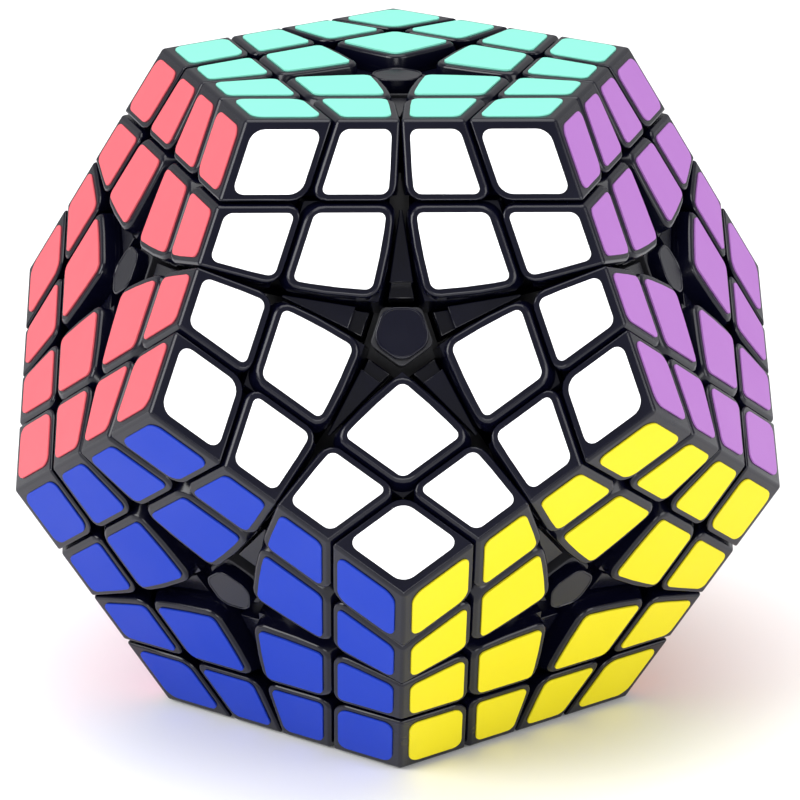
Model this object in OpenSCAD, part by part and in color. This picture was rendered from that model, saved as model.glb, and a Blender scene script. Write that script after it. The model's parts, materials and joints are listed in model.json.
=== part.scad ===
// Four-layer dodecahedral twisty puzzle.
// It stands on one face: the origin is under its centre, on the surface that it stands on, and +Z is up.
// Every face has two cuts, an outer and an inner one, and each follows a cone about that face's axis, with its
// tip at the puzzle's centre. What turns with the face stays inside the cone, as flat sides between points on
// it, and what stands still stays outside, as flat sides that touch it. So every layer turns freely.

/* [Overall] */
// Length of one edge of the dodecahedron
edge_len = 38; // [30:0.5:60]
// Gap between neighbouring pieces at the outer cut, and between a foot and the piece over it
gap = 0.4; // [0.2:0.05:0.6]
// Gap between the sides of neighbouring pieces, as an angle at the puzzle's centre
side_play = 0.5; // [0.3:0.05:0.8]

/* [Cuts] */
// Distance from an edge to the outer cut, across the neighbouring face
outer_cut_inset = 10.45; // [8:0.05:12.5]
// Half-angle of the outer cut's cone, under the surface
outer_cone = 42; // [40.5:0.5:43]
// Half-angle of the outer layer's feet
foot_cone = 46; // [44:0.5:48]
// How much narrower the inner cut's cone is, at the depth of the sliders
slider_relief = 2.3; // [1.6:0.1:3]
// Depth at which the sliders start, below the faces
slider_depth = 8; // [7:0.5:9]
// Depth at which the feet start, below the faces
foot_depth = 15; // [13:0.5:16]
// Depth at which the feet end, below the faces
foot_end_depth = 20; // [18.5:0.5:21]

/* [Star recess] */
// Depth of the blocks' tops in the star arms
block_drop = 2.5; // [1.5:0.25:4]
// Extra depth of the blocks' inner steps
block_step = 2; // [1:0.25:3]
// Distance from the face's centre to the blocks' steps
block_step_at = 6.4; // [5.5:0.1:8]
// Distance from the cap's centre to its flat sides
cap_apothem = 3.1; // [2.6:0.05:3.2]
// Radius of the cap's corners
cap_corner = 1.1; // [0.5:0.1:1.5]
// Thickness of the cap's plate
cap_thick = 1.8; // [1.2:0.1:2.2]
// Length of the spigot that plugs a cap into its hub's well
spigot_len = 2; // [1.2:0.1:2.4]
// Depth of the cap's top, below the face
cap_drop = 1; // [0.5:0.1:1.5]

/* [Stickers] */
// Thickness of a sticker
sticker_thick = 0.2; // [0.1:0.05:0.3]
// Plastic left bare between a sticker and an edge of the puzzle
edge_border = 1.05; // [0.8:0.05:1.6]
// Plastic left bare between a sticker and the middle of a cut
cut_border = 1.15; // [0.9:0.05:1.6]
// Radius of a sticker's corners
sticker_corner = 1.3; // [0.5:0.1:1.6]

/* [Core, screws and springs] */
// Radius of the core's ball
core_r = 10; // [8:0.5:11]
// Radius of the core's arms
arm_r = 3.2; // [2.6:0.1:3.6]
// Radius of the screws' shanks
shank_r = 0.9; // [0.7:0.05:1]
// Clearance between a screw and the hub that turns on it
bearing_clearance = 0.06; // [0.02:0.01:0.1]
// Radius of the screws' heads
screw_head_r = 1.9; // [1.6:0.05:2]
// Height of the screws' heads
screw_head_h = 1.5; // [1.2:0.1:2]
// Length of the slots in a screw's head
drive_len = 2.4; // [1.6:0.1:2.8]
// Width of the slots in a screw's head
drive_width = 0.5; // [0.3:0.05:0.7]
// Length of screw thread that the core holds
thread_len = 7; // [5:0.5:8]
// Thickness of a well's floor, which the spring presses on
well_floor_thick = 1.2; // [0.8:0.1:2]
// Radius of the well in a hub, which holds the spring and the screw's head
well_r = 2.15; // [2.05:0.05:2.3]
// Height of a spring as fitted
spring_len = 4.6; // [3.6:0.2:5.2]
// Play between a spring and its well
spring_play = 0.15; // [0.1:0.05:0.3]
// Diameter of the springs' wire
wire_d = 0.5; // [0.4:0.05:0.6]
// Turns in a spring
spring_turns = 3; // [3:1:5]
// Thickness of the washers
washer_thick = 0.4; // [0.3:0.05:0.6]
// Thickness of the hubs' track plates, which carry the feet
plate_thick = 1.8; // [1.2:0.1:2.4]
// Half-angle of the hubs' track plates
plate_cone = 30.5; // [26:0.5:31]

/* [Colours] */
// Body plastic
plastic = "#17171a";
// Core plastic
core_plastic = "#2a2a2e";
// Screws, springs and washers
steel = "#b9bcc2";
// Top face, then the upper ring from the front round to the right, as a list of face colours
face_colours = ["#34c3a4", "#f4f4f4", "#8e3bb4", "#58b8ea", "#f2e6b8", "#e5302c",
    "#7fd03a", "#f7e01e", "#1f3fc0", "#ef7fb4", "#9a9da2", "#f58220"];

/* [Hidden] */

// The dodecahedron: its golden ratio, the distance from its centre to a face, and a face's own apothem
golden = (1 + sqrt(5)) / 2;
face_r = edge_len * golden * golden / (2 * sqrt(3 - golden));
face_apothem = edge_len / (2 * tan(36));
corner_r = edge_len * sqrt(3) * golden / 2;
centre_h = face_r + sticker_thick;
// Angles between the axes of two faces that meet, and from a face's axis to the edges that leave its corners
tilt = acos(1 / sqrt(5));
inner_cone = (180 - tilt) / 2;
// Radii of the depths that the pieces step at, and the outer cut's height above the centre
outer_cut_h = face_r - outer_cut_inset * sin(tilt);
slider_r = face_r - slider_depth;
foot_r = face_r - foot_depth;
foot_end_r = face_r - foot_end_depth;
// Ends of the storeys, with the gap between what slides over what, the radius where an outer cut's cone
// comes out into its flat, and the ends of the spine that joins a piece's storeys
foot_top = foot_r - gap / 2;
beside_slider = foot_r + gap / 2;
slider_top = slider_r - gap / 2;
body_bottom = slider_r + gap / 2;
shoulder_r = (outer_cut_h - gap / 2) / cos(outer_cone);
spine_bottom = foot_top - 1;
neck_top = beside_slider + 1;
spine_top = body_bottom + 1;
reach = corner_r * 1.2;
ball_fn = 96;
bore_fn = 48;

// ---- The 60 rotations that leave a dodecahedron as it was ----
// Faces are numbered 0 for the top, 1 to 5 round the upper ring, 6 for the bottom, 7 to 11 round the lower one.
function turn_z(a) = [[cos(a), -sin(a), 0], [sin(a), cos(a), 0], [0, 0, 1]];
function turn_x(a) = [[1, 0, 0], [0, cos(a), -sin(a)], [0, sin(a), cos(a)]];
// The half turn that swaps the upper and the lower half
upside_down = turn_z(18) * [[-1, 0, 0], [0, 1, 0], [0, 0, -1]] * turn_z(-18);
// From the top face to another face
function to_face(f) =
    f == 0 ? turn_z(0) :
    f < 6 ? turn_z(72 * (f - 1)) * turn_x(tilt) * turn_z(180) :
    upside_down * to_face(f - 6);
// Each entry is the face that the pattern on the top face goes to, and the rotation that takes it there
rotations = [for (f = [0:11]) for (k = [0:4]) [f, to_face(f) * turn_z(72 * k)]];
function placed(m) = [for (row = m) [row[0], row[1], row[2], 0]];
function face_axis(f) = to_face(f) * [0, 0, 1];

// ---- Sample points of the pattern, on the top face near its first and second edges ----
axes = [for (f = [0:11]) face_axis(f)];
corner_at = axes[0] + axes[1] + axes[2];
wing_at = axes[0] + axes[1] + 0.35 * axes[2];
second_wing_at = axes[0] + axes[2] + 0.35 * axes[1];
centre_at = axes[0] + 0.3 * (axes[1] + axes[2]);
block_at = axes[0] + 0.4 * axes[1];
slider_at = axes[0] + axes[1];

// ---- Which body a piece belongs to ----
// The base stands still. Three faces that share no corner turn: each has an outer layer and a ring below it.
BASE = 0;
TEAL = 1;
TEAL_RING = 2;
YELLOW = 3;
YELLOW_RING = 4;
PINK = 5;
PINK_RING = 6;
// Each turning layer and its face
turning = [[TEAL, 0], [YELLOW, 7], [PINK, 9]];
function angle_between(p, q) = acos(p * q / norm(p) / norm(q));
function body_of(p) =
    let (
        outer = [for (t = turning) if (angle_between(p, axes[t[1]]) < outer_cone + 2) t[0]],
        ring = [for (t = turning) if (angle_between(p, axes[t[1]]) < inner_cone - 1) t[0] + 1]
    )
    len(outer) > 0 ? outer[0] : len(ring) > 0 ? ring[0] : BASE;
// Several rotations put a corner or a slider in the same place, and only one of them is kept
any_direction = [0.31, 0.17, 0.93];
function leads(m, rivals) = min([1, for (n = rivals) (m * axes[0] - m * n) * any_direction]) > 0;

// ---- Flat sides that follow the cones ----
function unit(v) = v / norm(v);
// The direction at the given angles from two axes, on the same side of their plane as near
function meet(a, angle_a, b, angle_b, near) =
    let (
        c = a * b,
        p = (cos(angle_a) - c * cos(angle_b)) / (1 - c * c),
        q = (cos(angle_b) - c * cos(angle_a)) / (1 - c * c),
        across_ab = cross(a, b),
        rest = sqrt((1 - p * p - q * q - 2 * p * q * c) / (across_ab * across_ab))
    )
    p * a + q * b + (across_ab * near > 0 ? rest : -rest) * across_ab;
// Outward normal of a side through the centre and two directions, for a piece on the side of inside
function side_through(u, v, inside) =
    let (n = unit(cross(u, v)))
    n * inside > 0 ? -n : n;
// Outward normal of a side that touches a cone from outside, where the cone comes nearest to inside
function side_outside(axis, angle, inside) =
    let (e = unit(inside - (inside * axis) * axis))
    sin(angle) * axis - cos(angle) * e;
// A pyramid with its tip at the centre, from the outward normals of its sides in order round it, either way
module pyramid(sides, inside) {
    n = len(sides);
    along = unit(inside);
    corners = [for (i = [0:n - 1])
        let (v = cross(sides[i], sides[(i + 1) % n]))
        v * (2 * reach / (v * along))];
    order = cross(corners[0], corners[1]) * along > 0 ? [1:n] : [n:-1:1];
    round = [for (i = order) i];
    polyhedron(
        concat([[0, 0, 0]], corners),
        concat([for (i = [0:n - 1]) [0, round[i], round[(i + 1) % n]]], [[for (i = [n - 1:-1:0]) round[i]]])
    );
}
module ball(r) sphere(r = r, $fn = ball_fn);
// The part of a pyramid between two distances from the centre
module storey(sides, inside, from_r, to_r) {
    difference() {
        intersection() {
            pyramid(sides, inside);
            ball(to_r);
        }
        ball(from_r);
    }
}
// Everything at most, or at least, at a height along the axis of a face
module below(face, height) {
    multmatrix(placed(to_face(face)))
        translate([-3 * reach, -3 * reach, height - 6 * reach])
            cube(6 * reach);
}
module above(face, height) {
    multmatrix(placed(to_face(face)))
        translate([-3 * reach, -3 * reach, height])
            cube(6 * reach);
}
// Angles of the cones, for a piece inside the layer and a piece outside it. The three depths are the body,
// the slider's depth and the feet. A spine joins them, and its sides stay a little inside all of theirs.
BODY = 0;
SLIDER = 1;
FOOT = 2;
SPINE = 3;
spine_inset = 0.3;
slider_inset = 0.05;
narrow_cone = inner_cone - slider_relief;
in_outer = [for (a = [outer_cone, outer_cone - slider_inset, foot_cone, outer_cone - spine_inset])
    a - side_play / 2];
not_outer = [for (a = [outer_cone, outer_cone + slider_inset, foot_cone, foot_cone + spine_inset])
    a + side_play / 2];
in_inner = [for (a = [inner_cone, narrow_cone, inner_cone, narrow_cone - spine_inset]) a - side_play / 2];
not_inner = [for (a = [inner_cone, narrow_cone, inner_cone, inner_cone + spine_inset]) a + side_play / 2];

// ---- The cut pieces, in the pattern's place, about the centre of the puzzle ----
// A corner, between the first three axes, from the angle of its layers
function corner_sides(angle) =
    let (
        u = meet(axes[0], angle, axes[1], angle, axes[2]),
        v = meet(axes[1], angle, axes[2], angle, axes[0]),
        w = meet(axes[2], angle, axes[0], angle, axes[1])
    )
    [side_through(w, u, corner_at), side_through(u, v, corner_at), side_through(v, w, corner_at)];
module corner_piece() {
    storey(corner_sides(in_outer[SPINE]), corner_at, spine_bottom, shoulder_r);
    storey(corner_sides(in_outer[FOOT]), corner_at, foot_end_r, foot_top);
    intersection() {
        above(0, outer_cut_h + gap / 2);
        above(1, outer_cut_h + gap / 2);
        above(2, outer_cut_h + gap / 2);
        below(0, face_r);
        below(1, face_r);
        below(2, face_r);
    }
}

// A wing, on the first edge beside the corner: in the first two faces' outer layers and in the third's ring
function wing_sides(own, past, ring) =
    let (
        u0 = meet(axes[0], own, axes[2], ring, axes[1]),
        w0 = meet(axes[0], own, axes[2], past, axes[1]),
        u1 = meet(axes[1], own, axes[2], ring, axes[0]),
        w1 = meet(axes[1], own, axes[2], past, axes[0])
    )
    [side_outside(axes[2], past, wing_at), side_through(w0, u0, wing_at),
        side_through(u0, u1, wing_at), side_through(u1, w1, wing_at)];
// The body above the flats of both outer cuts keeps the same sides towards the third face, but spreads wider
own_sides = wing_sides(in_outer[BODY], not_outer[BODY], in_inner[BODY]);
wide_sides = wing_sides(foot_cone, not_outer[BODY], in_inner[BODY]);
wide_wing_sides = [own_sides[0], wide_sides[1], own_sides[2], wide_sides[3]];
function wing_storey(depth) = wing_sides(in_outer[depth], not_outer[depth], in_inner[depth]);
module wing_piece() {
    storey(wing_storey(SPINE), wing_at, spine_bottom, neck_top);
    storey(wing_storey(FOOT), wing_at, foot_end_r, foot_top);
    storey(wing_storey(SLIDER), wing_at, beside_slider, spine_top);
    intersection() {
        union() {
            storey(wing_storey(BODY), wing_at, body_bottom, reach);
            intersection() {
                pyramid(wide_wing_sides, wing_at);
                above(0, outer_cut_h + gap / 2);
                above(1, outer_cut_h + gap / 2);
            }
        }
        below(0, face_r);
        below(1, face_r);
        below(2, outer_cut_h - gap / 2);
    }
}

// A centre, on the top face: in the rings of the second and third faces, and outside their outer layers
function centre_sides(past, ring) =
    let (
        u = meet(axes[1], past, axes[2], ring, axes[0]),
        tip = meet(axes[1], ring, axes[2], ring, axes[0]),
        v = meet(axes[2], past, axes[1], ring, axes[0])
    )
    [side_outside(axes[1], past, centre_at), side_through(u, tip, centre_at),
        side_through(tip, v, centre_at), side_outside(axes[2], past, centre_at)];
function centre_storey(depth) = centre_sides(not_outer[depth], in_inner[depth]);
module centre_piece() {
    storey(centre_storey(SPINE), centre_at, spine_bottom, neck_top);
    storey(centre_storey(FOOT), centre_at, foot_end_r, foot_top);
    storey(centre_storey(SLIDER), centre_at, beside_slider, spine_top);
    difference() {
        intersection() {
            storey(centre_storey(BODY), centre_at, body_bottom, reach);
            below(0, face_r);
        }
        above(1, outer_cut_h - gap / 2);
        above(2, outer_cut_h - gap / 2);
    }
}

// The recessed block in the arm of the star that points to the first edge, with a lower step beside the cap
function block_sides(past, ring, arm) =
    let (
        u = meet(axes[1], ring, axes[2], arm, axes[0]),
        v = meet(axes[1], ring, axes[5], arm, axes[0])
    )
    [side_through(u, v, block_at), side_outside(axes[2], arm, block_at),
        side_outside(axes[1], past, block_at), side_outside(axes[5], arm, block_at)];
function block_storey(depth) = block_sides(not_outer[depth], in_inner[depth], not_inner[depth]);
module block_piece() {
    storey(block_storey(SPINE), block_at, spine_bottom, spine_top);
    storey(block_storey(FOOT), block_at, foot_end_r, foot_top);
    storey(block_storey(SLIDER), block_at, beside_slider, slider_top);
    difference() {
        intersection() {
            storey(block_storey(BODY), block_at, body_bottom, reach);
            below(0, face_r - block_drop);
        }
        translate([-reach, -block_step_at, face_r - block_drop - block_step])
            cube([2 * reach, 2 * block_step_at, reach]);
    }
}

// The hidden bar under the middle of the first edge
function slider_sides(own, ring) =
    let (
        u0 = meet(axes[0], own, axes[2], ring, axes[1]),
        v0 = meet(axes[0], own, axes[5], ring, axes[1]),
        u1 = meet(axes[1], own, axes[2], ring, axes[0]),
        v1 = meet(axes[1], own, axes[5], ring, axes[0])
    )
    [side_through(u0, v0, slider_at), side_outside(axes[2], ring, slider_at),
        side_through(u1, v1, slider_at), side_outside(axes[5], ring, slider_at)];
module slider_piece() {
    storey(slider_sides(in_outer[SLIDER], not_inner[SLIDER]), slider_at, beside_slider, slider_top);
}

// ---- Hub, cap, screw, spring and washer, on the top face's axis ----
plate_top_r = foot_end_r - gap;
plate_bottom_r = plate_top_r - plate_thick;
arm_top = plate_bottom_r - gap;
arm_bottom = 0.8 * core_r;
well_floor = foot_r + well_floor_thick;
washer_at = well_floor + spring_len;
head_at = washer_at + washer_thick;
hub_top = face_r - cap_drop - cap_thick;
function hub_sides(ring) = [for (k = [1:5]) side_outside(axes[k], ring, axes[0])];
module hub_piece() {
    difference() {
        union() {
            intersection() {
                pyramid(hub_sides(not_inner[BODY]), axes[0]);
                above(0, plate_top_r - plate_thick / 2);
                below(0, hub_top);
            }
            storey(hub_sides(not_inner[SLIDER]), axes[0], beside_slider, slider_top);
            track_plate();
        }
        translate([0, 0, well_floor])
            cylinder(r = well_r, h = reach, $fn = bore_fn);
        cylinder(r = shank_r + bearing_clearance, h = reach, $fn = bore_fn);
    }
}
// The plate that the feet slide on, part of a ball about the centre of the puzzle
module track_plate() {
    rotate_extrude($fn = ball_fn)
        intersection() {
            difference() {
                circle(r = plate_top_r, $fn = ball_fn);
                circle(r = plate_bottom_r, $fn = ball_fn);
            }
            polygon([[0, 0], [reach * sin(plate_cone), reach * cos(plate_cone)], [0, reach]]);
        }
}
module cap_piece() {
    outline = [for (k = [0:4]) cap_apothem / cos(36) * [cos(72 * k - 54), sin(72 * k - 54)]];
    translate([0, 0, hub_top])
        linear_extrude(cap_thick)
            polygon(rounded(outline, [for (k = [0:4]) 0], cap_corner));
    translate([0, 0, hub_top - spigot_len])
        cylinder(r = well_r, h = spigot_len + cap_thick / 2, $fn = bore_fn);
}
module screw_piece() {
    difference() {
        union() {
            translate([0, 0, head_at])
                cylinder(r = screw_head_r, h = screw_head_h, $fn = bore_fn);
            translate([0, 0, arm_top - thread_len])
                cylinder(r = shank_r, h = head_at - arm_top + thread_len + screw_head_h / 4, $fn = bore_fn);
        }
        for (a = [0, 90])
            rotate([0, 0, a])
                translate([-drive_len / 2, -drive_width / 2, head_at + screw_head_h / 2])
                    cube([drive_len, drive_width, screw_head_h]);
    }
}
module washer_piece() {
    translate([0, 0, washer_at])
        difference() {
            cylinder(r = screw_head_r, h = washer_thick, $fn = bore_fn);
            translate([0, 0, -washer_thick])
                cylinder(r = shank_r + bearing_clearance, h = 3 * washer_thick, $fn = bore_fn);
        }
}
// A spring's wire follows its helix in straight steps, with a square section
spring_steps = 8;
wire_side = wire_d / sqrt(2);
function spring_ring(i) =
    let (
        a = 360 * i / spring_steps,
        z = wire_d / 2 + (spring_len - wire_d) * i / (spring_steps * spring_turns),
        r = well_r - spring_play - wire_d / 2
    )
    [for (c = [[-1, -1], [1, -1], [1, 1], [-1, 1]] * wire_side / 2)
        [(r + c[0]) * cos(a), (r + c[0]) * sin(a), z + c[1]]];
module spring_piece() {
    last = spring_steps * spring_turns;
    points = [for (i = [0:last]) each spring_ring(i)];
    sides = [for (i = [0:last - 1]) for (c = [0:3])
        let (a = 4 * i + c, b = 4 * i + (c + 1) % 4)
        each [[a, a + 4, b + 4], [a, b + 4, b]]];
    translate([0, 0, well_floor])
        polyhedron(points, concat([[0, 1, 2, 3]], sides, [[for (c = [3:-1:0]) 4 * last + c]]));
}

// ---- Stickers, on the top face ----
// The direction across the face to an edge, and the point with given offsets towards the first two edges
function across(k) = [cos(72 * k - 90), sin(72 * k - 90)];
function at_offsets(c0, c1) =
    [c0 * across(1)[1] - c1 * across(0)[1], c1 * across(0)[0] - c0 * across(1)[0]] / sin(72);
function at_insets(e0, e1) = at_offsets(face_apothem - e0, face_apothem - e1);
// Where a line at an inset from the first edge meets the third face's inner cut: the cone about that face's
// axis gives a quadratic for how far the point lies towards the second edge
function inner_cut_at(e0) =
    let (
        c = pow(cos(inner_cone), 2),
        k = 1 / tan(72),
        m = (face_apothem - e0) / sin(72),
        qa = pow(sin(tilt), 2) - c - c * k * k,
        qb = 2 * face_r * sin(tilt) * cos(tilt) + 2 * c * m * k,
        qc = face_r * face_r * (pow(cos(tilt), 2) - c) - c * m * m
    )
    at_offsets(face_apothem - e0, (sqrt(qb * qb - 4 * qa * qc) - qb) / (2 * qa));
// The mirror image in the line from the face's centre to the corner between the two edges
to_corner = [cos(54), -sin(54)];
function flipped(p) = 2 * (p * to_corner) * to_corner - p;
corner_point = at_insets(0, 0);
edge_point = at_insets(0, outer_cut_inset);
cross_point = at_insets(outer_cut_inset, outer_cut_inset);
middle_point = inner_cut_at(0);
arm_point = inner_cut_at(outer_cut_inset);
star_tip = face_r * tan(tilt - inner_cone) / cos(36) * to_corner;
// A convex outline with each side moved in by its own border, and round corners
arc_steps = 2;
function side_normal(p, q) = [q[1] - p[1], p[0] - q[0]] / norm(q - p);
function line_meet(n, c, m, d) = [c * m[1] - d * n[1], d * n[0] - c * m[0]] / (n[0] * m[1] - n[1] * m[0]);
function rounded(points, borders, r) =
    let (
        n = len(points),
        normals = [for (i = [0:n - 1]) side_normal(points[i], points[(i + 1) % n])],
        offsets = [for (i = [0:n - 1]) normals[i] * points[i] - borders[i] - r]
    )
    [for (i = [0:n - 1])
        let (
            j = (i + 1) % n,
            middle = line_meet(normals[i], offsets[i], normals[j], offsets[j]),
            start = atan2(normals[i][1], normals[i][0]),
            turn = (atan2(normals[j][1], normals[j][0]) - start + 720) % 360
        )
        for (s = [0:arc_steps])
            let (a = start + turn * s / arc_steps)
            middle + r * [cos(a), sin(a)]];
module sticker(points, borders) {
    translate([0, 0, face_r])
        linear_extrude(sticker_thick)
            polygon(rounded(points, borders, sticker_corner));
}
module corner_sticker()
    sticker([edge_point, corner_point, flipped(edge_point), cross_point],
        [edge_border, edge_border, cut_border, cut_border]);
module wing_sticker()
    sticker([middle_point, edge_point, cross_point, arm_point],
        [edge_border, cut_border, cut_border, cut_border]);
module second_wing_sticker()
    sticker([flipped(edge_point), flipped(middle_point), flipped(arm_point), cross_point],
        [edge_border, cut_border, cut_border, cut_border]);
module centre_sticker()
    sticker([cross_point, flipped(arm_point), star_tip, arm_point],
        [cut_border, cut_border, cut_border, cut_border]);

// ---- Everything in its place ----
module about_centre() translate([0, 0, centre_h]) children();
// Every copy of a piece that one body carries
module copies(body, at, rivals = []) {
    about_centre()
        for (r = rotations)
            if (body_of(r[1] * at) == body && leads(r[1], rivals))
                multmatrix(placed(r[1])) children();
}
// One copy for each face whose hub one body carries, or for each of the twelve faces
EVERY = -1;
module on_faces(body) {
    about_centre()
        for (f = [0:11])
            if (body == EVERY || body_of(axes[f]) == body)
                multmatrix(placed(to_face(f))) children();
}
module corners(body) color(plastic) copies(body, corner_at, [axes[1], axes[2]]) corner_piece();
module wings(body) color(plastic) copies(body, wing_at) wing_piece();
module centres(body) color(plastic) copies(body, centre_at) centre_piece();
module blocks(body) color(plastic) copies(body, block_at) block_piece();
module sliders(body) color(core_plastic) copies(body, slider_at, [axes[1]]) slider_piece();
module hubs(body) color(core_plastic) on_faces(body) hub_piece();
module caps(body) color(plastic) on_faces(body) cap_piece();
module stickers(body) {
    about_centre()
        for (r = rotations)
            color(face_colours[r[0]])
                multmatrix(placed(r[1])) {
                    if (body_of(r[1] * corner_at) == body) corner_sticker();
                    if (body_of(r[1] * wing_at) == body) wing_sticker();
                    if (body_of(r[1] * second_wing_at) == body) second_wing_sticker();
                    if (body_of(r[1] * centre_at) == body) centre_sticker();
                }
}
module core() {
    color(core_plastic)
        difference() {
            union() {
                about_centre() ball(core_r);
                on_faces(EVERY)
                    translate([0, 0, arm_bottom])
                        cylinder(r = arm_r, h = arm_top - arm_bottom, $fn = bore_fn);
            }
            on_faces(EVERY)
                translate([0, 0, arm_top - thread_len])
                    cylinder(r = shank_r, h = reach, $fn = bore_fn);
        }
}
module tension_screws() color(steel) on_faces(EVERY) screw_piece();
module springs() color(steel) on_faces(EVERY) spring_piece();
module washers() color(steel) on_faces(EVERY) washer_piece();

// ---- One module for each named sub-part ----
module base_corners() corners(BASE);
module base_wings() wings(BASE);
module base_centres() centres(BASE);
module base_blocks() blocks(BASE);
module base_sliders() sliders(BASE);
module base_hubs() hubs(BASE);
module base_caps() caps(BASE);
module base_stickers() stickers(BASE);
module teal_corners() corners(TEAL);
module teal_wings() wings(TEAL);
module teal_centres() centres(TEAL);
module teal_blocks() blocks(TEAL);
module teal_sliders() sliders(TEAL);
module teal_hub() hubs(TEAL);
module teal_cap() caps(TEAL);
module teal_stickers() stickers(TEAL);
module teal_ring_wings() wings(TEAL_RING);
module teal_ring_centres() centres(TEAL_RING);
module teal_ring_blocks() blocks(TEAL_RING);
module teal_ring_stickers() stickers(TEAL_RING);
module yellow_corners() corners(YELLOW);
module yellow_wings() wings(YELLOW);
module yellow_centres() centres(YELLOW);
module yellow_blocks() blocks(YELLOW);
module yellow_sliders() sliders(YELLOW);
module yellow_hub() hubs(YELLOW);
module yellow_cap() caps(YELLOW);
module yellow_stickers() stickers(YELLOW);
module yellow_ring_wings() wings(YELLOW_RING);
module yellow_ring_centres() centres(YELLOW_RING);
module yellow_ring_blocks() blocks(YELLOW_RING);
module yellow_ring_stickers() stickers(YELLOW_RING);
module pink_corners() corners(PINK);
module pink_wings() wings(PINK);
module pink_centres() centres(PINK);
module pink_blocks() blocks(PINK);
module pink_sliders() sliders(PINK);
module pink_hub() hubs(PINK);
module pink_cap() caps(PINK);
module pink_stickers() stickers(PINK);
module pink_ring_wings() wings(PINK_RING);
module pink_ring_centres() centres(PINK_RING);
module pink_ring_blocks() blocks(PINK_RING);
module pink_ring_stickers() stickers(PINK_RING);

core();
tension_screws();
springs();
washers();
base_corners();
base_wings();
base_centres();
base_blocks();
base_sliders();
base_hubs();
base_caps();
base_stickers();
teal_corners();
teal_wings();
teal_centres();
teal_blocks();
teal_sliders();
teal_hub();
teal_cap();
teal_stickers();
teal_ring_wings();
teal_ring_centres();
teal_ring_blocks();
teal_ring_stickers();
yellow_corners();
yellow_wings();
yellow_centres();
yellow_blocks();
yellow_sliders();
yellow_hub();
yellow_cap();
yellow_stickers();
yellow_ring_wings();
yellow_ring_centres();
yellow_ring_blocks();
yellow_ring_stickers();
pink_corners();
pink_wings();
pink_centres();
pink_blocks();
pink_sliders();
pink_hub();
pink_cap();
pink_stickers();
pink_ring_wings();
pink_ring_centres();
pink_ring_blocks();
pink_ring_stickers();
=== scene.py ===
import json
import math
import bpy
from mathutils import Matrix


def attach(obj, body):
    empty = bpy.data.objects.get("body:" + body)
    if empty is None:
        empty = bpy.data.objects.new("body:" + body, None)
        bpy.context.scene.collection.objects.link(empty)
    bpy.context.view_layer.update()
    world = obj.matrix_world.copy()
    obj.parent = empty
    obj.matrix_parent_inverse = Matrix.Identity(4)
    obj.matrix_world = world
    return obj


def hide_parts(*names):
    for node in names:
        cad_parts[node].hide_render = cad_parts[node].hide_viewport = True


bl_info = {
    "name": "Dodecahedron Twisty Puzzle",
    "version": (1, 0, 0),
    "blender": (4, 5, 0),
    "location": "View3D > Sidebar > Puzzle",
    "description": "Builds the pieces, stickers and studio of a layered dodecahedron puzzle round its frame",
    "category": "Object",
}

import bmesh
import bpy
from bpy.props import FloatProperty, FloatVectorProperty, PointerProperty
from mathutils import Matrix, Vector

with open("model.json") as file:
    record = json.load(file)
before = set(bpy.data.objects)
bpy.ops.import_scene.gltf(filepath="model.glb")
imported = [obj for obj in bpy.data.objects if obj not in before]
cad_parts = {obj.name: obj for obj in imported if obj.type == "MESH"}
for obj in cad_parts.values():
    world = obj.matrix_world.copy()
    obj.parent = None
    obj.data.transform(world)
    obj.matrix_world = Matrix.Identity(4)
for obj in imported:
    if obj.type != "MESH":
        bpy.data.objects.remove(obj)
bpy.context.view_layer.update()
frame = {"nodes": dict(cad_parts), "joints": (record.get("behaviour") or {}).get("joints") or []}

# ---- The frame's own measures ----
CENTRE = Vector(frame["joints"][0]["pos_m"])
STICKER_THICKNESS = 0.0002
FACE_RADIUS = CENTRE.z - STICKER_THICKNESS
EDGE = FACE_RADIUS * 2 / math.sqrt(2.5 + 1.1 * math.sqrt(5))
TILT = math.acos(1 / math.sqrt(5))
INNER_CONE = (math.pi - TILT) / 2
REACH = 1.7 * FACE_RADIUS

# ---- Faces and bodies ----
FACE_NAMES = (
    "teal", "white", "purple", "sky", "cream", "red",
    "lime", "yellow", "blue", "pink", "grey", "orange",
)
# Each face that turns, and the bodies of its outer layer and its ring
TURNING = ((0, "teal_outer", "teal_ring"), (7, "yellow_outer", "yellow_ring"), (9, "pink_outer", "pink_ring"))
NODE_PREFIX = {
    "base": "base", "teal_outer": "teal", "teal_ring": "teal_ring", "yellow_outer": "yellow",
    "yellow_ring": "yellow_ring", "pink_outer": "pink", "pink_ring": "pink_ring",
}


def turn(degrees, axis):
    return Matrix.Rotation(math.radians(degrees), 3, axis)


def face_turn(face):
    """The rotation that takes the top face's pattern to another face."""
    if face == 0:
        return Matrix.Identity(3)
    if face < 6:
        return turn(72 * (face - 1), "Z") @ Matrix.Rotation(TILT, 3, "X") @ turn(180, "Z")
    flip = turn(18, "Z") @ turn(180, "Y") @ turn(-18, "Z")
    return flip @ face_turn(face - 6)


AXES = [face_turn(face) @ Vector((0, 0, 1)) for face in range(12)]
PLACES = [(face, face_turn(face) @ turn(72 * k, "Z")) for face in range(12) for k in range(5)]
TOP, FRONT, RIGHT, LEFT = AXES[0], AXES[1], AXES[2], AXES[5]
CORNER_AT = TOP + FRONT + RIGHT
WING_AT = TOP + FRONT + 0.35 * RIGHT
SECOND_WING_AT = TOP + RIGHT + 0.35 * FRONT
CENTRE_AT = TOP + 0.3 * (FRONT + RIGHT)
BLOCK_AT = TOP + 0.4 * FRONT


# ---- Sizes and colours that a user may change ----
def length(name, description, default):
    return FloatProperty(name=name, description=description, default=default, unit="LENGTH", precision=5)


def colour(name, description, default):
    return FloatVectorProperty(
        name=name, description=description, default=default, subtype="COLOR", size=3, min=0, max=1
    )


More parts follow.
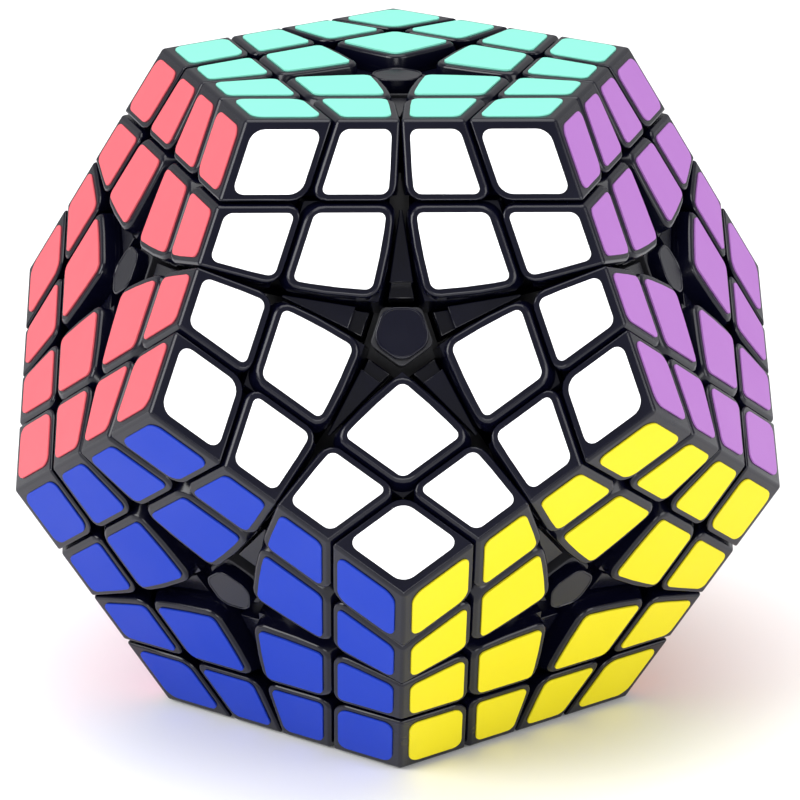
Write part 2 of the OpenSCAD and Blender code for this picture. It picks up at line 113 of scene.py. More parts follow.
class PuzzleSizes(bpy.types.PropertyGroup):
    outer_inset: length("Outer cut inset", "Distance of the outer cut from the edge of a face", 0.01045)
    outer_cone: FloatProperty(
        name="Outer cone", description="Half-angle of the outer cut inside", default=math.radians(42), subtype="ANGLE"
    )
    foot_cone: FloatProperty(
        name="Foot cone", description="Half-angle of the outer cut at the feet", default=math.radians(46), subtype="ANGLE"
    )
    gap: length("Gap", "Gap between neighbouring pieces", 0.0004)
    corner_round: length("Corner radius", "Radius of the pieces' upright corners", 0.0019)
    edge_round: length("Edge radius", "Radius of the pieces' upper edges", 0.00045)
    edge_border: length("Edge border", "Plastic between a sticker and the puzzle's edge", 0.00122)
    cut_border: length("Cut border", "Plastic between a sticker and the middle of a gap", 0.00115)
    sticker_round: length("Sticker corner radius", "Radius of the stickers' corners", 0.0015)
    block_drop: length("Block drop", "Depth of the blocks in the star below the face", 0.0025)
    block_step: length("Block step", "Depth of the blocks' lower step below their top", 0.002)
    block_step_at: length("Block step place", "Distance of the step from the middle of the face", 0.0064)
    cap_apothem: length("Cap apothem", "Distance of the cap's sides from its middle", 0.0031)
    cap_round: length("Cap corner radius", "Radius of the cap's corners", 0.0015)
    cap_drop: length("Cap drop", "Depth of the cap's top below the face", 0.001)
    cap_height: length("Cap height", "Height of the cap above the hub", 0.0018)


class PuzzleColours(bpy.types.PropertyGroup):
    plastic: colour("Plastic", "Outer pieces", (0.0012, 0.0013, 0.0058))
    core_plastic: colour("Core plastic", "Hidden pieces", (0.024, 0.024, 0.028))
    steel: colour("Steel", "Screws, springs and washers", (0.48, 0.5, 0.52))
    teal: colour("Teal", "Stickers of the top face", (0.19, 0.6, 0.48))
    white: colour("White", "Stickers of the front face", (0.9, 0.9, 0.91))
    purple: colour("Purple", "Stickers of the upper right face", (0.335, 0.135, 0.42))
    sky: colour("Sky blue", "Stickers of the upper back right face", (0.1, 0.4, 0.72))
    cream: colour("Cream", "Stickers of the upper back left face", (0.8, 0.7, 0.38))
    red: colour("Red", "Stickers of the upper left face", (0.62, 0.092, 0.113))
    lime: colour("Lime", "Stickers of the bottom face", (0.2, 0.58, 0.03))
    yellow: colour("Yellow", "Stickers of the lower front right face", (0.64, 0.55, 0.006))
    blue: colour("Blue", "Stickers of the lower front left face", (0.003, 0.03, 0.355))
    pink: colour("Pink", "Stickers of the lower left face", (0.72, 0.2, 0.4))
    grey: colour("Grey", "Stickers of the lower back face", (0.26, 0.27, 0.29))
    orange: colour("Orange", "Stickers of the lower right face", (0.75, 0.2, 0.015))


class PuzzleStage(bpy.types.PropertyGroup):
    azimuth: FloatProperty(name="Azimuth", description="Camera's way round the puzzle", default=math.radians(-1.0125), subtype="ANGLE")
    elevation: FloatProperty(name="Elevation", description="Camera's height as an angle", default=math.radians(19.148), subtype="ANGLE")
    distance: length("Distance", "Camera's distance from the puzzle's centre", 13.024 * EDGE)
    lens: FloatProperty(name="Lens", description="Focal length on a 36 mm sensor, in millimetres", default=167.55)
    yaw: FloatProperty(name="Yaw", description="Camera's aim to the side", default=math.radians(0.054), subtype="ANGLE")
    pitch: FloatProperty(name="Pitch", description="Camera's aim up or down", default=math.radians(-0.372), subtype="ANGLE")
    roll: FloatProperty(name="Roll", description="Camera's roll", default=math.radians(0.107), subtype="ANGLE")


# ---- Where the cuts run ----
def meet(a, angle_a, b, angle_b, near):
    """The direction at the given angles from two axes, on the same side of their plane as near."""
    c = a.dot(b)
    p = (math.cos(angle_a) - c * math.cos(angle_b)) / (1 - c * c)
    q = (math.cos(angle_b) - c * math.cos(angle_a)) / (1 - c * c)
    across = a.cross(b)
    rest = math.sqrt((1 - p * p - q * q - 2 * p * q * c) / across.length_squared)
    return p * a + q * b + math.copysign(rest, across.dot(near)) * across


def through(u, v, inside):
    """A cut through the centre and two directions, with inside on its inner side."""
    normal = u.cross(v).normalized()
    return (-normal if normal.dot(inside) > 0 else normal, 0.0)


def outside(axis, angle, inside):
    """A flat cut that touches a cone from outside, where the cone comes nearest to inside."""
    side = (inside - inside.dot(axis) * axis).normalized()
    return (math.sin(angle) * axis - math.cos(angle) * side, 0.0)


def inside_cone(axis, angle, start, end, count):
    """Flat cuts that touch a cone round a piece inside it, from one direction to another."""
    cuts = []
    for i in range(count):
        q = start.lerp(end, i / (count - 1))
        side = (q - q.dot(axis) * axis).normalized()
        cuts.append((math.cos(angle) * side - math.sin(angle) * axis, 0.0))
    return cuts


def below(axis, height):
    return (axis.copy(), height)


def above(axis, height):
    return (-axis, -height)


EDGE_MIDDLE = (TOP + FRONT).normalized()
SECOND_EDGE_MIDDLE = (TOP + RIGHT).normalized()


# ---- Solids cut out by planes ----
# They are shaped in millimetres, because bevel and bisect lose steps as small as these in metres
MM = 1000


def carve(name, cuts):
    """Starts a cube about the puzzle's centre and cuts it back by planes, left in edit mode."""
    bpy.ops.object.select_all(action="DESELECT")
    bpy.ops.mesh.primitive_cube_add(size=2 * REACH * MM)
    piece = bpy.context.object
    piece.name = name
    piece.data.name = name
    bpy.ops.object.mode_set(mode="EDIT")
    for normal, distance in cuts:
        bpy.ops.mesh.select_all(action="SELECT")
        bpy.ops.mesh.bisect(
            plane_co=normal * distance * MM, plane_no=normal, use_fill=True, clear_outer=True, threshold=1e-4
        )
    return piece


def bevel_where(piece, wanted, radius, segments):
    """Bevels the edges that a test picks out."""
    mesh = bmesh.from_edit_mesh(piece.data)
    mesh.normal_update()
    bpy.ops.mesh.select_mode(type="EDGE")
    bpy.ops.mesh.select_all(action="DESELECT")
    mesh = bmesh.from_edit_mesh(piece.data)
    for edge in mesh.edges:
        edge.select_set(len(edge.link_faces) == 2 and wanted(edge))
    mesh.select_flush_mode()
    bmesh.update_edit_mesh(piece.data)
    bpy.ops.mesh.bevel(offset=radius * MM, segments=segments, affect="EDGES", clamp_overlap=True)


def finish_solid(piece):
    bpy.ops.mesh.select_all(action="SELECT")
    bpy.ops.mesh.remove_doubles(threshold=1e-3)
    bpy.ops.mesh.normals_make_consistent(inside=False)
    bpy.ops.transform.resize(value=(1 / MM, 1 / MM, 1 / MM), center_override=(0, 0, 0))
    bpy.ops.object.mode_set(mode="OBJECT")
    return piece


def rounded_piece(name, cuts, tops, corner_radius, edge_radius, segments=4, dish=0.0, bottom=TOP):
    """A solid whose upright corners are rounded first and whose upper edges after, with a dish where one is asked for."""
    piece = carve(name, cuts)

    def is_top(face):
        return any(face.normal.dot(axis) > 0.9999 for axis in tops)

    def upright(edge):
        level = any(is_top(face) or face.normal.dot(bottom) < -0.9999 for face in edge.link_faces)
        return not level and edge.calc_face_angle(0) > math.radians(25)

    def upper(edge):
        return any(is_top(face) for face in edge.link_faces) and edge.calc_face_angle(0) > math.radians(20)

    if corner_radius:
        bevel_where(piece, upright, corner_radius, segments)
    bevel_where(piece, upper, edge_radius, 3)
    if dish:
        bpy.ops.mesh.select_mode(type="FACE")
        bpy.ops.mesh.select_all(action="DESELECT")
        mesh = bmesh.from_edit_mesh(piece.data)
        mesh.normal_update()
        for face in mesh.faces:
            face.select_set(is_top(face))
        bmesh.update_edit_mesh(piece.data)
        bpy.ops.mesh.inset(thickness=dish * MM)
        bpy.ops.mesh.inset(thickness=dish * MM, depth=-dish * MM)
    return finish_solid(piece)


def storey(name, sides, inside, low, high):
    """A plain part of a piece between two distances from the centre, for the stalks and feet."""
    along = inside.normalized()
    return finish_solid(carve(name, sides + [below(along, high), above(along, low)]))


def joined(name, pieces):
    bpy.ops.object.select_all(action="DESELECT")
    for piece in pieces:
        piece.select_set(True)
    bpy.context.view_layer.objects.active = pieces[0]
    if len(pieces) > 1:
        bpy.ops.object.join()
    whole = bpy.context.view_layer.objects.active
    whole.name = name
    whole.data.name = name
    return whole


def body_of(direction):
    """The body that a piece in a direction from the centre belongs to."""
    outer_cone = bpy.context.scene.puzzle_sizes.outer_cone
    angles = [(direction.angle(AXES[face]), outer, ring) for face, outer, ring in TURNING]
    for angle, outer, ring in angles:
        if angle < outer_cone + math.radians(2):
            return outer
    for angle, outer, ring in angles:
        if angle < INNER_CONE - math.radians(1):
            return ring
    return "base"


def copies_at(model, places):
    """Copies of a model, each with its own mesh, turned about the puzzle's centre and put in place."""
    copies = []
    for rotation in places:
        mesh = model.data.copy()
        mesh.transform(Matrix.Translation(CENTRE) @ rotation.to_4x4())
        copy = bpy.data.objects.new(model.name, mesh)
        bpy.context.scene.collection.objects.link(copy)
        copies.append(copy)
    return copies


def smooth_flats(piece, degrees=40):
    """Smooths the rounded edges and keeps the broad flats flat."""
    bpy.ops.object.select_all(action="DESELECT")
    piece.select_set(True)
    bpy.context.view_layer.objects.active = piece
    bpy.ops.object.shade_smooth_by_angle(angle=math.radians(degrees))
    weighted = piece.modifiers.new("Flat faces", "WEIGHTED_NORMAL")
    weighted.keep_sharp = True
    bpy.ops.object.modifier_apply(modifier=weighted.name)


def spread(model, kind, at, rivals, material, node_kind=None):
    """Copies a model to every place that the pattern puts it, joined for each body, and removes the model."""
    by_body = {}
    seen = set()
    for face, rotation in PLACES:
        spot = rotation @ at
        key = tuple(round(v, 4) for v in spot)
        if key in seen:
            continue
        seen.add(key)
        by_body.setdefault(body_of(spot), []).append(rotation)
    for body, rotations in by_body.items():
        prefix = NODE_PREFIX[body]
        piece = joined(f"{prefix}_{kind}_shell", copies_at(model, rotations))
        piece.data.materials.clear()
        piece.data.materials.append(material)
        smooth_flats(piece)
        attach(piece, body)
        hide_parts(node_name(prefix, kind))
    bpy.data.objects.remove(model)


def node_name(prefix, kind):
    if prefix != "base" and kind in ("hubs", "caps"):
        return f"{prefix}_{kind[:-1]}"
    return f"{prefix}_{kind}"


# ---- Materials ----
def group_socket(tree, name, kind, direction, default=None):
    socket = tree.interface.new_socket(name=name, in_out=direction, socket_type=kind)
    if default is not None:
        socket.default_value = default
    return socket


def moulded_grain():
    """Group: faint mottling of colour and roughness, and a fine moulded texture, on object coordinates."""
    name = "Moulded grain"
    if name in bpy.data.node_groups:
        return bpy.data.node_groups[name]
    tree = bpy.data.node_groups.new(name, "ShaderNodeTree")
    group_socket(tree, "Colour", "NodeSocketColor", "INPUT", (0.5, 0.5, 0.5, 1))
    group_socket(tree, "Mottle Colour", "NodeSocketColor", "INPUT", (0.6, 0.6, 0.6, 1))
    group_socket(tree, "Mottle", "NodeSocketFloat", "INPUT", 0.3)
    group_socket(tree, "Mottle Scale", "NodeSocketFloat", "INPUT", 120)
    group_socket(tree, "Smoothest", "NodeSocketFloat", "INPUT", 0.2)
    group_socket(tree, "Roughest", "NodeSocketFloat", "INPUT", 0.4)
    group_socket(tree, "Grain Scale", "NodeSocketFloat", "INPUT", 3000)
    group_socket(tree, "Colour", "NodeSocketColor", "OUTPUT")
    group_socket(tree, "Roughness", "NodeSocketFloat", "OUTPUT")
    group_socket(tree, "Height", "NodeSocketFloat", "OUTPUT")
    nodes, links = tree.nodes, tree.links
    given = nodes.new("NodeGroupInput")
    put = nodes.new("NodeGroupOutput")
    place = nodes.new("ShaderNodeTexCoord")
    mottle = nodes.new("ShaderNodeTexNoise")
    mottle.inputs["Detail"].default_value = 3
    links.new(place.outputs["Object"], mottle.inputs["Vector"])
    links.new(given.outputs["Mottle Scale"], mottle.inputs["Scale"])
    amount = nodes.new("ShaderNodeMath")
    amount.operation = "MULTIPLY"
    links.new(mottle.outputs["Fac"], amount.inputs[0])
    links.new(given.outputs["Mottle"], amount.inputs[1])
    mix = nodes.new("ShaderNodeMix")
    mix.data_type = "RGBA"
    links.new(amount.outputs[0], mix.inputs["Factor"])
    links.new(given.outputs["Colour"], mix.inputs["A"])
    links.new(given.outputs["Mottle Colour"], mix.inputs["B"])
    links.new(mix.outputs["Result"], put.inputs["Colour"])
    haze = nodes.new("ShaderNodeTexNoise")
    haze.inputs["Detail"].default_value = 4
    links.new(place.outputs["Object"], haze.inputs["Vector"])
    links.new(given.outputs["Mottle Scale"], haze.inputs["Scale"])
    spread_out = nodes.new("ShaderNodeMapRange")
    spread_out.inputs["From Min"].default_value = 0.3
    spread_out.inputs["From Max"].default_value = 0.7
    links.new(haze.outputs["Fac"], spread_out.inputs["Value"])
    links.new(given.outputs["Smoothest"], spread_out.inputs["To Min"])
    links.new(given.outputs["Roughest"], spread_out.inputs["To Max"])
    links.new(spread_out.outputs["Result"], put.inputs["Roughness"])
    grain = nodes.new("ShaderNodeTexNoise")
    grain.inputs["Detail"].default_value = 2
    links.new(place.outputs["Object"], grain.inputs["Vector"])
    links.new(given.outputs["Grain Scale"], grain.inputs["Scale"])
    links.new(grain.outputs["Fac"], put.inputs["Height"])
    return tree


def grained(name, base, mottle, smoothest, roughest, grain_scale, grain_depth, mottle_amount=0.35,
            mottle_scale=90, metallic=0.0, coat=0.0, specular=0.5):
    """A material built on the moulded grain group."""
    if name in bpy.data.materials:
        return bpy.data.materials[name]
    material = bpy.data.materials.new(name)
    material.use_nodes = True
    nodes, links = material.node_tree.nodes, material.node_tree.links
    shader = nodes["Principled BSDF"]
    shader.inputs["Metallic"].default_value = metallic
    shader.inputs["Coat Weight"].default_value = coat
    shader.inputs["Coat Roughness"].default_value = 0.12
    shader.inputs["Specular IOR Level"].default_value = specular
    grain = nodes.new("ShaderNodeGroup")
    grain.node_tree = moulded_grain()
    grain.inputs["Colour"].default_value = (*base, 1)
    grain.inputs["Mottle Colour"].default_value = (*mottle, 1)
    grain.inputs["Mottle"].default_value = mottle_amount
    grain.inputs["Mottle Scale"].default_value = mottle_scale
    grain.inputs["Smoothest"].default_value = smoothest
    grain.inputs["Roughest"].default_value = roughest
    grain.inputs["Grain Scale"].default_value = grain_scale
    bump = nodes.new("ShaderNodeBump")
    bump.inputs["Strength"].default_value = 0.25
    bump.inputs["Distance"].default_value = grain_depth
    links.new(grain.outputs["Colour"], shader.inputs["Base Color"])
    links.new(grain.outputs["Roughness"], shader.inputs["Roughness"])
    links.new(grain.outputs["Height"], bump.inputs["Height"])
    links.new(bump.outputs["Normal"], shader.inputs["Normal"])
    return material


def lighter(tint, factor):
    return tuple(min(1.0, v * factor) for v in tint)


def black_plastic():
    tint = bpy.context.scene.puzzle_colours.plastic
    return grained("Black moulded plastic", tint, lighter(tint, 1.7), 0.16, 0.28, 2600, 2e-6, specular=0.3)


def inner_plastic():
    tint = bpy.context.scene.puzzle_colours.core_plastic
    return grained("Inner plastic", tint, lighter(tint, 1.5), 0.35, 0.5, 1800, 4e-6, specular=0.25)


def spring_steel():
    tint = bpy.context.scene.puzzle_colours.steel
    return grained("Spring steel", tint, lighter(tint, 0.8), 0.25, 0.4, 4000, 1e-6, metallic=1.0)


def sticker_vinyl(name):
    tint = getattr(bpy.context.scene.puzzle_colours, name)
    return grained(
        f"{name.capitalize()} sticker vinyl", tint, lighter(tint, 0.92), 0.42, 0.55, 1500, 3e-6,
        mottle_amount=0.5, mottle_scale=60, specular=0.2
    )


# ---- Operators, one for each group of like pieces ----
def cut_height():
    return FACE_RADIUS - bpy.context.scene.puzzle_sizes.outer_inset * math.sin(TILT)


PLAY = math.radians(0.25)
# How much narrower the stalks are beside the sliders, and where the pieces' bodies start over them
RELIEF = math.radians(2.4)
BODY_BOTTOM = FACE_RADIUS - 0.0077
WING_SHELL_BOTTOM = 0.0427
CENTRE_SHELL_BOTTOM = FACE_RADIUS - 0.002
OVERLAP = 0.0002
FOOT_BOTTOM = 0.0225
FOOT_TOP = 0.0261


class PUZZLE_OT_corners(bpy.types.Operator):
    """Build the corner pieces"""

    bl_idname = "puzzle.corners"
    bl_label = "Corners"

    def execute(self, context):
        sizes = context.scene.puzzle_sizes
        tops = (TOP, FRONT, RIGHT)
        bottom = cut_height() + sizes.gap / 2
        shell = rounded_piece(
            "corner_model",
            [below(axis, FACE_RADIUS) for axis in tops] + [above(axis, bottom) for axis in tops],
            tops, sizes.corner_round, sizes.edge_round, bottom=CORNER_AT.normalized(),
        )
        stalk = storey("corner_stalk", self.sides(sizes.outer_cone - PLAY), CORNER_AT, 0.025, 0.0415)
        foot = storey("corner_foot", self.sides(sizes.foot_cone - PLAY), CORNER_AT, FOOT_BOTTOM, FOOT_TOP)
        model = joined("corner_model", [shell, stalk, foot])
        spread(model, "corners", CORNER_AT, (), black_plastic())
        return {"FINISHED"}

    @staticmethod
    def sides(angle):
        u = meet(TOP, angle, FRONT, angle, RIGHT)
        v = meet(FRONT, angle, RIGHT, angle, TOP)
        w = meet(RIGHT, angle, TOP, angle, FRONT)
        return [through(a, b, CORNER_AT) for a, b in ((w, u), (u, v), (v, w))]


class PUZZLE_OT_wings(bpy.types.Operator):
    """Build the wing pieces beside the middle of each edge"""

    bl_idname = "puzzle.wings"
    bl_label = "Wings"

    def execute(self, context):
        sizes = context.scene.puzzle_sizes
        tops = (TOP, FRONT)
        bottom = cut_height() + sizes.gap / 2
        sides = [above(axis, bottom) for axis in tops] + [below(RIGHT, cut_height() - sizes.gap / 2)]
        shell = rounded_piece(
            "wing_model",
            [below(axis, FACE_RADIUS) for axis in tops] + sides
            + inside_cone(RIGHT, INNER_CONE - PLAY, TOP + 0.72 * FRONT, FRONT + 0.72 * TOP, 2)
            + [above(EDGE_MIDDLE, WING_SHELL_BOTTOM)],
            tops, sizes.corner_round, sizes.edge_round, bottom=EDGE_MIDDLE,
        )
        body = finish_solid(carve(
            "wing_body",
            sides + inside_cone(RIGHT, INNER_CONE - PLAY, TOP + 0.58 * FRONT, FRONT + 0.58 * TOP, 4)
            + [outside(RIGHT, sizes.outer_cone + PLAY, WING_AT), below(EDGE_MIDDLE, WING_SHELL_BOTTOM + OVERLAP)],
        ))
        outer, foot, wide = sizes.outer_cone, sizes.foot_cone, INNER_CONE - PLAY
        stalk = storey("wing_stalk", self.sides(outer - PLAY, outer + PLAY, wide - RELIEF), WING_AT, 0.0278, 0.041)
        neck = storey("wing_neck", self.sides(outer - PLAY, foot + 2 * PLAY, wide - RELIEF), WING_AT, 0.025, 0.029)
        heel = storey("wing_foot", self.sides(foot - PLAY, foot + PLAY, wide), WING_AT, FOOT_BOTTOM, FOOT_TOP)
        model = joined("wing_model", [shell, body, stalk, neck, heel])
        spread(model, "wings", WING_AT, (), black_plastic())
        return {"FINISHED"}

    @staticmethod
    def sides(own, past, ring):
        u0 = meet(TOP, own, RIGHT, ring, FRONT)
        w0 = meet(TOP, own, RIGHT, past, FRONT)
        u1 = meet(FRONT, own, RIGHT, ring, TOP)
        w1 = meet(FRONT, own, RIGHT, past, TOP)
        return [
            outside(RIGHT, past, WING_AT), through(w0, u0, WING_AT),
            through(u0, u1, WING_AT), through(u1, w1, WING_AT),
        ]


class PUZZLE_OT_centres(bpy.types.Operator):
    """Build the kite-shaped centre pieces"""

    bl_idname = "puzzle.centres"
    bl_label = "Centres"

    def execute(self, context):
        sizes = context.scene.puzzle_sizes
        side = cut_height() - sizes.gap / 2
        cone = INNER_CONE - PLAY
        sides = [below(FRONT, side), below(RIGHT, side)]
        shell = rounded_piece(
            "centre_model",
            sides + [below(TOP, FACE_RADIUS), above(TOP, CENTRE_SHELL_BOTTOM)]
            + inside_cone(FRONT, cone, TOP + 0.2 * RIGHT, TOP + 0.42 * RIGHT, 2)
            + inside_cone(RIGHT, cone, TOP + 0.2 * FRONT, TOP + 0.42 * FRONT, 2),
            (TOP,), sizes.corner_round, sizes.edge_round,
        )
        body = finish_solid(carve(
            "centre_body",
            sides + [below(TOP, CENTRE_SHELL_BOTTOM + OVERLAP), above(TOP, BODY_BOTTOM)]
            + [outside(axis, sizes.outer_cone + PLAY, CENTRE_AT) for axis in (FRONT, RIGHT)]
            + inside_cone(FRONT, cone, TOP + 0.12 * RIGHT, TOP + 1.1 * RIGHT, 5)
            + inside_cone(RIGHT, cone, TOP + 0.12 * FRONT, TOP + 1.1 * FRONT, 5),
        ))
        foot = storey("centre_foot", self.sides(sizes.foot_cone + PLAY, cone), CENTRE_AT, FOOT_BOTTOM, FOOT_TOP)
        stalk = storey(
            "centre_stalk", self.sides(sizes.foot_cone + 2 * PLAY, cone - RELIEF), CENTRE_AT, 0.025, 0.036
        )
        model = joined("centre_model", [shell, body, stalk, foot])
        spread(model, "centres", CENTRE_AT, (), black_plastic())
        return {"FINISHED"}

    @staticmethod
    def sides(past, ring):
        u = meet(FRONT, past, RIGHT, ring, TOP)
        tip = meet(FRONT, ring, RIGHT, ring, TOP)
        v = meet(RIGHT, past, FRONT, ring, TOP)
        return [
            outside(FRONT, past, CENTRE_AT), through(u, tip, CENTRE_AT),
            through(tip, v, CENTRE_AT), outside(RIGHT, past, CENTRE_AT),
        ]


class PUZZLE_OT_blocks(bpy.types.Operator):
    """Build the recessed blocks in the arms of each star"""

    bl_idname = "puzzle.blocks"
    bl_label = "Blocks"

    def execute(self, context):
        sizes = context.scene.puzzle_sizes
        arm = INNER_CONE + PLAY
        top = FACE_RADIUS - sizes.block_drop
        step = top - sizes.block_step
        sides = [
            outside(RIGHT, arm, BLOCK_AT), outside(LEFT, arm, BLOCK_AT),
            outside(FRONT, sizes.outer_cone + PLAY, BLOCK_AT),
        ]
        step_face = Vector((0, 1, 0))
        platform = rounded_piece(
            "block_model",
            sides + [below(TOP, top), above(TOP, BODY_BOTTOM), below(step_face, -sizes.block_step_at)],
            (TOP,), 0.0, 0.0002,
        )
        ledge = rounded_piece(
            "block_ledge",
            sides + [below(TOP, step), above(TOP, BODY_BOTTOM), below(step_face, -0.0046),
                     above(step_face, -sizes.block_step_at - 0.001)],
            (TOP,), 0.0, 0.00025,
        )
        foot = storey(
            "block_foot", self.sides(arm, INNER_CONE - PLAY, sizes.foot_cone + PLAY), BLOCK_AT, FOOT_BOTTOM, FOOT_TOP
        )
        stalk = storey(
            "block_stalk", self.sides(arm + PLAY, INNER_CONE - PLAY - RELIEF, sizes.foot_cone + 2 * PLAY),
            BLOCK_AT, 0.025, 0.036,
        )
        model = joined("block_model", [platform, ledge, stalk, foot])
        spread(model, "blocks", BLOCK_AT, (), black_plastic())
        return {"FINISHED"}

    @staticmethod
    def sides(arm, ring, past):
        u = meet(FRONT, ring, RIGHT, arm, TOP)
        v = meet(FRONT, ring, LEFT, arm, TOP)
        return [
            through(u, v, BLOCK_AT), outside(RIGHT, arm, BLOCK_AT), outside(LEFT, arm, BLOCK_AT),
            outside(FRONT, past, BLOCK_AT),
        ]


class PUZZLE_OT_hubs(bpy.types.Operator):
    """Build the hubs under the caps"""

    bl_idname = "puzzle.hubs"
    bl_label = "Hubs"

    def execute(self, context):
        sizes = context.scene.puzzle_sizes
        top = FACE_RADIUS - sizes.cap_drop - sizes.cap_height
        sides = [outside(AXES[k], INNER_CONE + PLAY, TOP) for k in range(1, 6)]
        column = rounded_piece(
            "hub_model", sides + [below(TOP, top), above(TOP, 0.0215)], (TOP,), 0.0006, 0.00025,
        )
        wide = [outside(AXES[k], INNER_CONE - math.radians(2.05), TOP) for k in range(1, 6)]
        disc = finish_solid(carve("hub_disc", wide + [below(TOP, 0.0334), above(TOP, 0.0276)]))
        bpy.ops.object.select_all(action="DESELECT")
        bpy.ops.mesh.primitive_uv_sphere_add(segments=48, ring_count=48, radius=0.0219 * MM)
        plate = bpy.context.object
        bpy.ops.object.mode_set(mode="EDIT")
        bpy.ops.mesh.select_all(action="SELECT")
        bpy.ops.mesh.bisect(
            plane_co=(0, 0, 0.0219 * MM * math.cos(math.radians(30.5))), plane_no=(0, 0, -1),
            use_fill=True, clear_outer=True,
        )
        finish_solid(plate)
        model = joined("hub_model", [column, disc, plate])
        spread(model, "hubs", TOP, (), inner_plastic())
        return {"FINISHED"}


class PUZZLE_OT_caps(bpy.types.Operator):
    """Build the five-sided caps in the middle of each star"""

    bl_idname = "puzzle.caps"
    bl_label = "Caps"

    def execute(self, context):
        sizes = context.scene.puzzle_sizes
        top = FACE_RADIUS - sizes.cap_drop
        sides = [
            below(Vector((math.cos(math.radians(72 * k - 90)), math.sin(math.radians(72 * k - 90)), 0)), sizes.cap_apothem)
            for k in range(5)
        ]
        model = rounded_piece(
            "cap_model", sides + [below(TOP, top), above(TOP, top - sizes.cap_height)],
            (TOP,), sizes.cap_round, 0.00016, segments=8, dish=0.00009,
        )
        spread(model, "caps", TOP, (), black_plastic())
        return {"FINISHED"}


class PUZZLE_OT_stickers(bpy.types.Operator):
    """Build the stickers, joined for each body and colour"""

    bl_idname = "puzzle.stickers"
    bl_label = "Stickers"

    def execute(self, context):
        sizes = context.scene.puzzle_sizes
        edge, cut = sizes.edge_border, sizes.cut_border
        height = cut_height()
        cone_right = [(c, cut) for c in inside_cone(RIGHT, INNER_CONE, TOP, EDGE_MIDDLE, 8)]
        cone_front = [(c, cut) for c in inside_cone(FRONT, INNER_CONE, TOP, SECOND_EDGE_MIDDLE, 8)]
        outlines = {
            "corner": (CORNER_AT, [
                (below(FRONT, FACE_RADIUS), edge), (below(RIGHT, FACE_RADIUS), edge),
                (above(FRONT, height), cut), (above(RIGHT, height), cut)]),
            "wing": (WING_AT, [
                (below(FRONT, FACE_RADIUS), edge), (above(FRONT, height), cut), (below(RIGHT, height), cut)] + cone_right),
            "second_wing": (SECOND_WING_AT, [
                (below(RIGHT, FACE_RADIUS), edge), (above(RIGHT, height), cut), (below(FRONT, height), cut)] + cone_front),
            "centre": (CENTRE_AT, [(below(FRONT, height), cut), (below(RIGHT, height), cut)] + cone_right + cone_front),
        }
        groups = {}
        for name, (at, outline) in outlines.items():
            model = self.sticker(name, outline)
            for face, rotation in PLACES:
                key = (body_of(rotation @ at), FACE_NAMES[face])
                groups.setdefault(key, []).extend(copies_at(model, [rotation]))
            bpy.data.objects.remove(model)
        for (body, tint), copies in groups.items():
            prefix = NODE_PREFIX[body]
            piece = joined(f"{prefix}_stickers_{tint}", copies)
            piece.data.materials.clear()
            piece.data.materials.append(sticker_vinyl(tint))
            smooth_flats(piece)
            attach(piece, body)
            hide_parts(f"{prefix}_stickers")
        return {"FINISHED"}

    @staticmethod
    def sticker(name, outline):
        cuts = [below(TOP, FACE_RADIUS + STICKER_THICKNESS), above(TOP, FACE_RADIUS)]
        for (normal, distance), border in outline:
            level = math.hypot(normal.x, normal.y)
            flat = Vector((normal.x, normal.y, 0)) / level
            cuts.append(below(flat, (distance - normal.z * FACE_RADIUS) / level - border))
        return rounded_piece(
            f"{name}_sticker_model", cuts, (TOP,), bpy.context.scene.puzzle_sizes.sticker_round, 0.00006, segments=5
        )


class PUZZLE_OT_inside(bpy.types.Operator):
    """Give the core, screws, springs, washers and sliders their materials"""

    bl_idname = "puzzle.inside"
    bl_label = "Inside"

    def execute(self, context):
        for name, node in frame["nodes"].items():
            if name in ("tension_screws", "springs", "washers"):
                material = spring_steel()
            elif name == "core" or name.endswith("_sliders"):
                material = inner_plastic()
            else:
                material = black_plastic()
            for slot in node.material_slots:
                slot.material = material
        return {"FINISHED"}


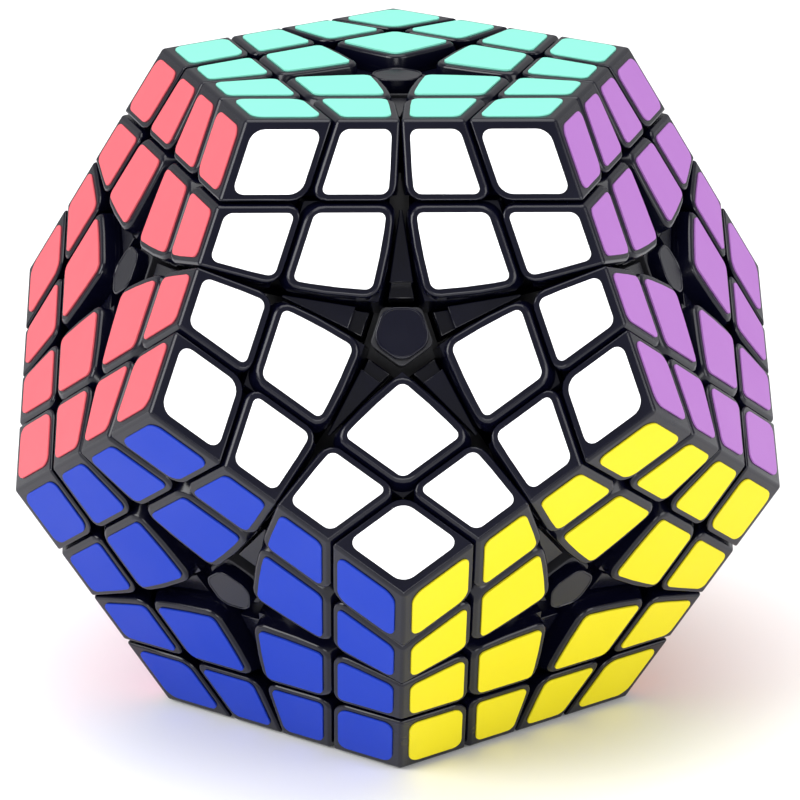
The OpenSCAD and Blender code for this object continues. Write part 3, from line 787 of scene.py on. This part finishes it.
class PUZZLE_OT_stage(bpy.types.Operator):
    """Set up the floor, the lights and the camera"""

    bl_idname = "puzzle.stage"
    bl_label = "Stage"

    def execute(self, context):
        self.floor()
        self.light("Left light", (-1.2, -0.6, 0.8), 1.0, 24)
        self.light("Right light", (1.2, -0.75, 0.5), 1.0, 14)
        self.light("Top light", (0.0, 0.1, 1.5), 1.4, 22)
        self.light("Low front light", (0.0, -1.6, 0.12), 0.8, 12)
        world = bpy.data.worlds.new("Studio")
        world.use_nodes = True
        background = world.node_tree.nodes["Background"]
        background.inputs["Color"].default_value = (1, 1, 1, 1)
        background.inputs["Strength"].default_value = 0.45
        context.scene.world = world
        context.scene.view_settings.view_transform = "Standard"
        self.camera(context)
        return {"FINISHED"}

    @staticmethod
    def floor():
        bpy.ops.object.select_all(action="DESELECT")
        bpy.ops.mesh.primitive_plane_add(size=8)
        floor = bpy.context.object
        floor.name = "Floor"
        floor.data.materials.append(
            grained("Pale floor", (0.86, 0.86, 0.87), (0.82, 0.82, 0.83), 0.5, 0.6, 400, 1e-6, mottle_scale=3)
        )

    @staticmethod
    def light(name, place, size, power):
        bpy.ops.object.select_all(action="DESELECT")
        bpy.ops.object.light_add(type="AREA", location=place)
        lamp = bpy.context.object
        lamp.name = name
        lamp.data.size = size
        lamp.data.energy = power
        aim = CENTRE - Vector(place)
        lamp.rotation_euler = aim.to_track_quat("-Z", "Y").to_euler()

    @staticmethod
    def camera(context):
        stage = context.scene.puzzle_stage
        az, el = stage.azimuth, stage.elevation
        away = Vector((math.sin(az) * math.cos(el), -math.cos(az) * math.cos(el), math.sin(el)))
        ahead = -away
        right = ahead.cross(Vector((0, 0, 1))).normalized()
        up = right.cross(ahead)
        ahead, right = (
            ahead * math.cos(stage.yaw) + right * math.sin(stage.yaw),
            right * math.cos(stage.yaw) - ahead * math.sin(stage.yaw),
        )
        ahead, up = (
            ahead * math.cos(stage.pitch) + up * math.sin(stage.pitch),
            up * math.cos(stage.pitch) - ahead * math.sin(stage.pitch),
        )
        right, up = (
            right * math.cos(stage.roll) + up * math.sin(stage.roll),
            up * math.cos(stage.roll) - right * math.sin(stage.roll),
        )
        bpy.ops.object.camera_add(location=CENTRE + away * stage.distance)
        camera = bpy.context.object
        camera.name = "Camera"
        camera.rotation_euler = Matrix((right, up, -ahead)).transposed().to_euler()
        camera.data.sensor_width = 36
        camera.data.lens = stage.lens
        camera.data.clip_end = 100
        context.scene.camera = camera


class PUZZLE_PT_panel(bpy.types.Panel):
    """The puzzle's sizes, colours and operators"""

    bl_idname = "PUZZLE_PT_panel"
    bl_label = "Puzzle"
    bl_space_type = "VIEW_3D"
    bl_region_type = "UI"
    bl_category = "Puzzle"

    def draw(self, context):
        for operator in OPERATORS:
            self.layout.operator(operator.bl_idname)
        for group in (context.scene.puzzle_sizes, context.scene.puzzle_colours, context.scene.puzzle_stage):
            box = self.layout.box()
            for name in group.bl_rna.properties.keys():
                if name not in ("rna_type", "name"):
                    box.prop(group, name)


OPERATORS = (
    PUZZLE_OT_corners, PUZZLE_OT_wings, PUZZLE_OT_centres, PUZZLE_OT_blocks, PUZZLE_OT_hubs,
    PUZZLE_OT_caps, PUZZLE_OT_stickers, PUZZLE_OT_inside, PUZZLE_OT_stage,
)
CLASSES = (PuzzleSizes, PuzzleColours, PuzzleStage) + OPERATORS + (PUZZLE_PT_panel,)


def register():
    for cls in CLASSES:
        bpy.utils.register_class(cls)
    bpy.types.Scene.puzzle_sizes = PointerProperty(type=PuzzleSizes)
    bpy.types.Scene.puzzle_colours = PointerProperty(type=PuzzleColours)
    bpy.types.Scene.puzzle_stage = PointerProperty(type=PuzzleStage)


def unregister():
    del bpy.types.Scene.puzzle_stage
    del bpy.types.Scene.puzzle_colours
    del bpy.types.Scene.puzzle_sizes
    for cls in reversed(CLASSES):
        bpy.utils.unregister_class(cls)


def main():
    register()
    bpy.ops.puzzle.inside()
    bpy.ops.puzzle.corners()
    bpy.ops.puzzle.wings()
    bpy.ops.puzzle.centres()
    bpy.ops.puzzle.blocks()
    bpy.ops.puzzle.hubs()
    bpy.ops.puzzle.caps()
    bpy.ops.puzzle.stickers()
    bpy.ops.puzzle.stage()


if __name__ == "__main__":
    main()
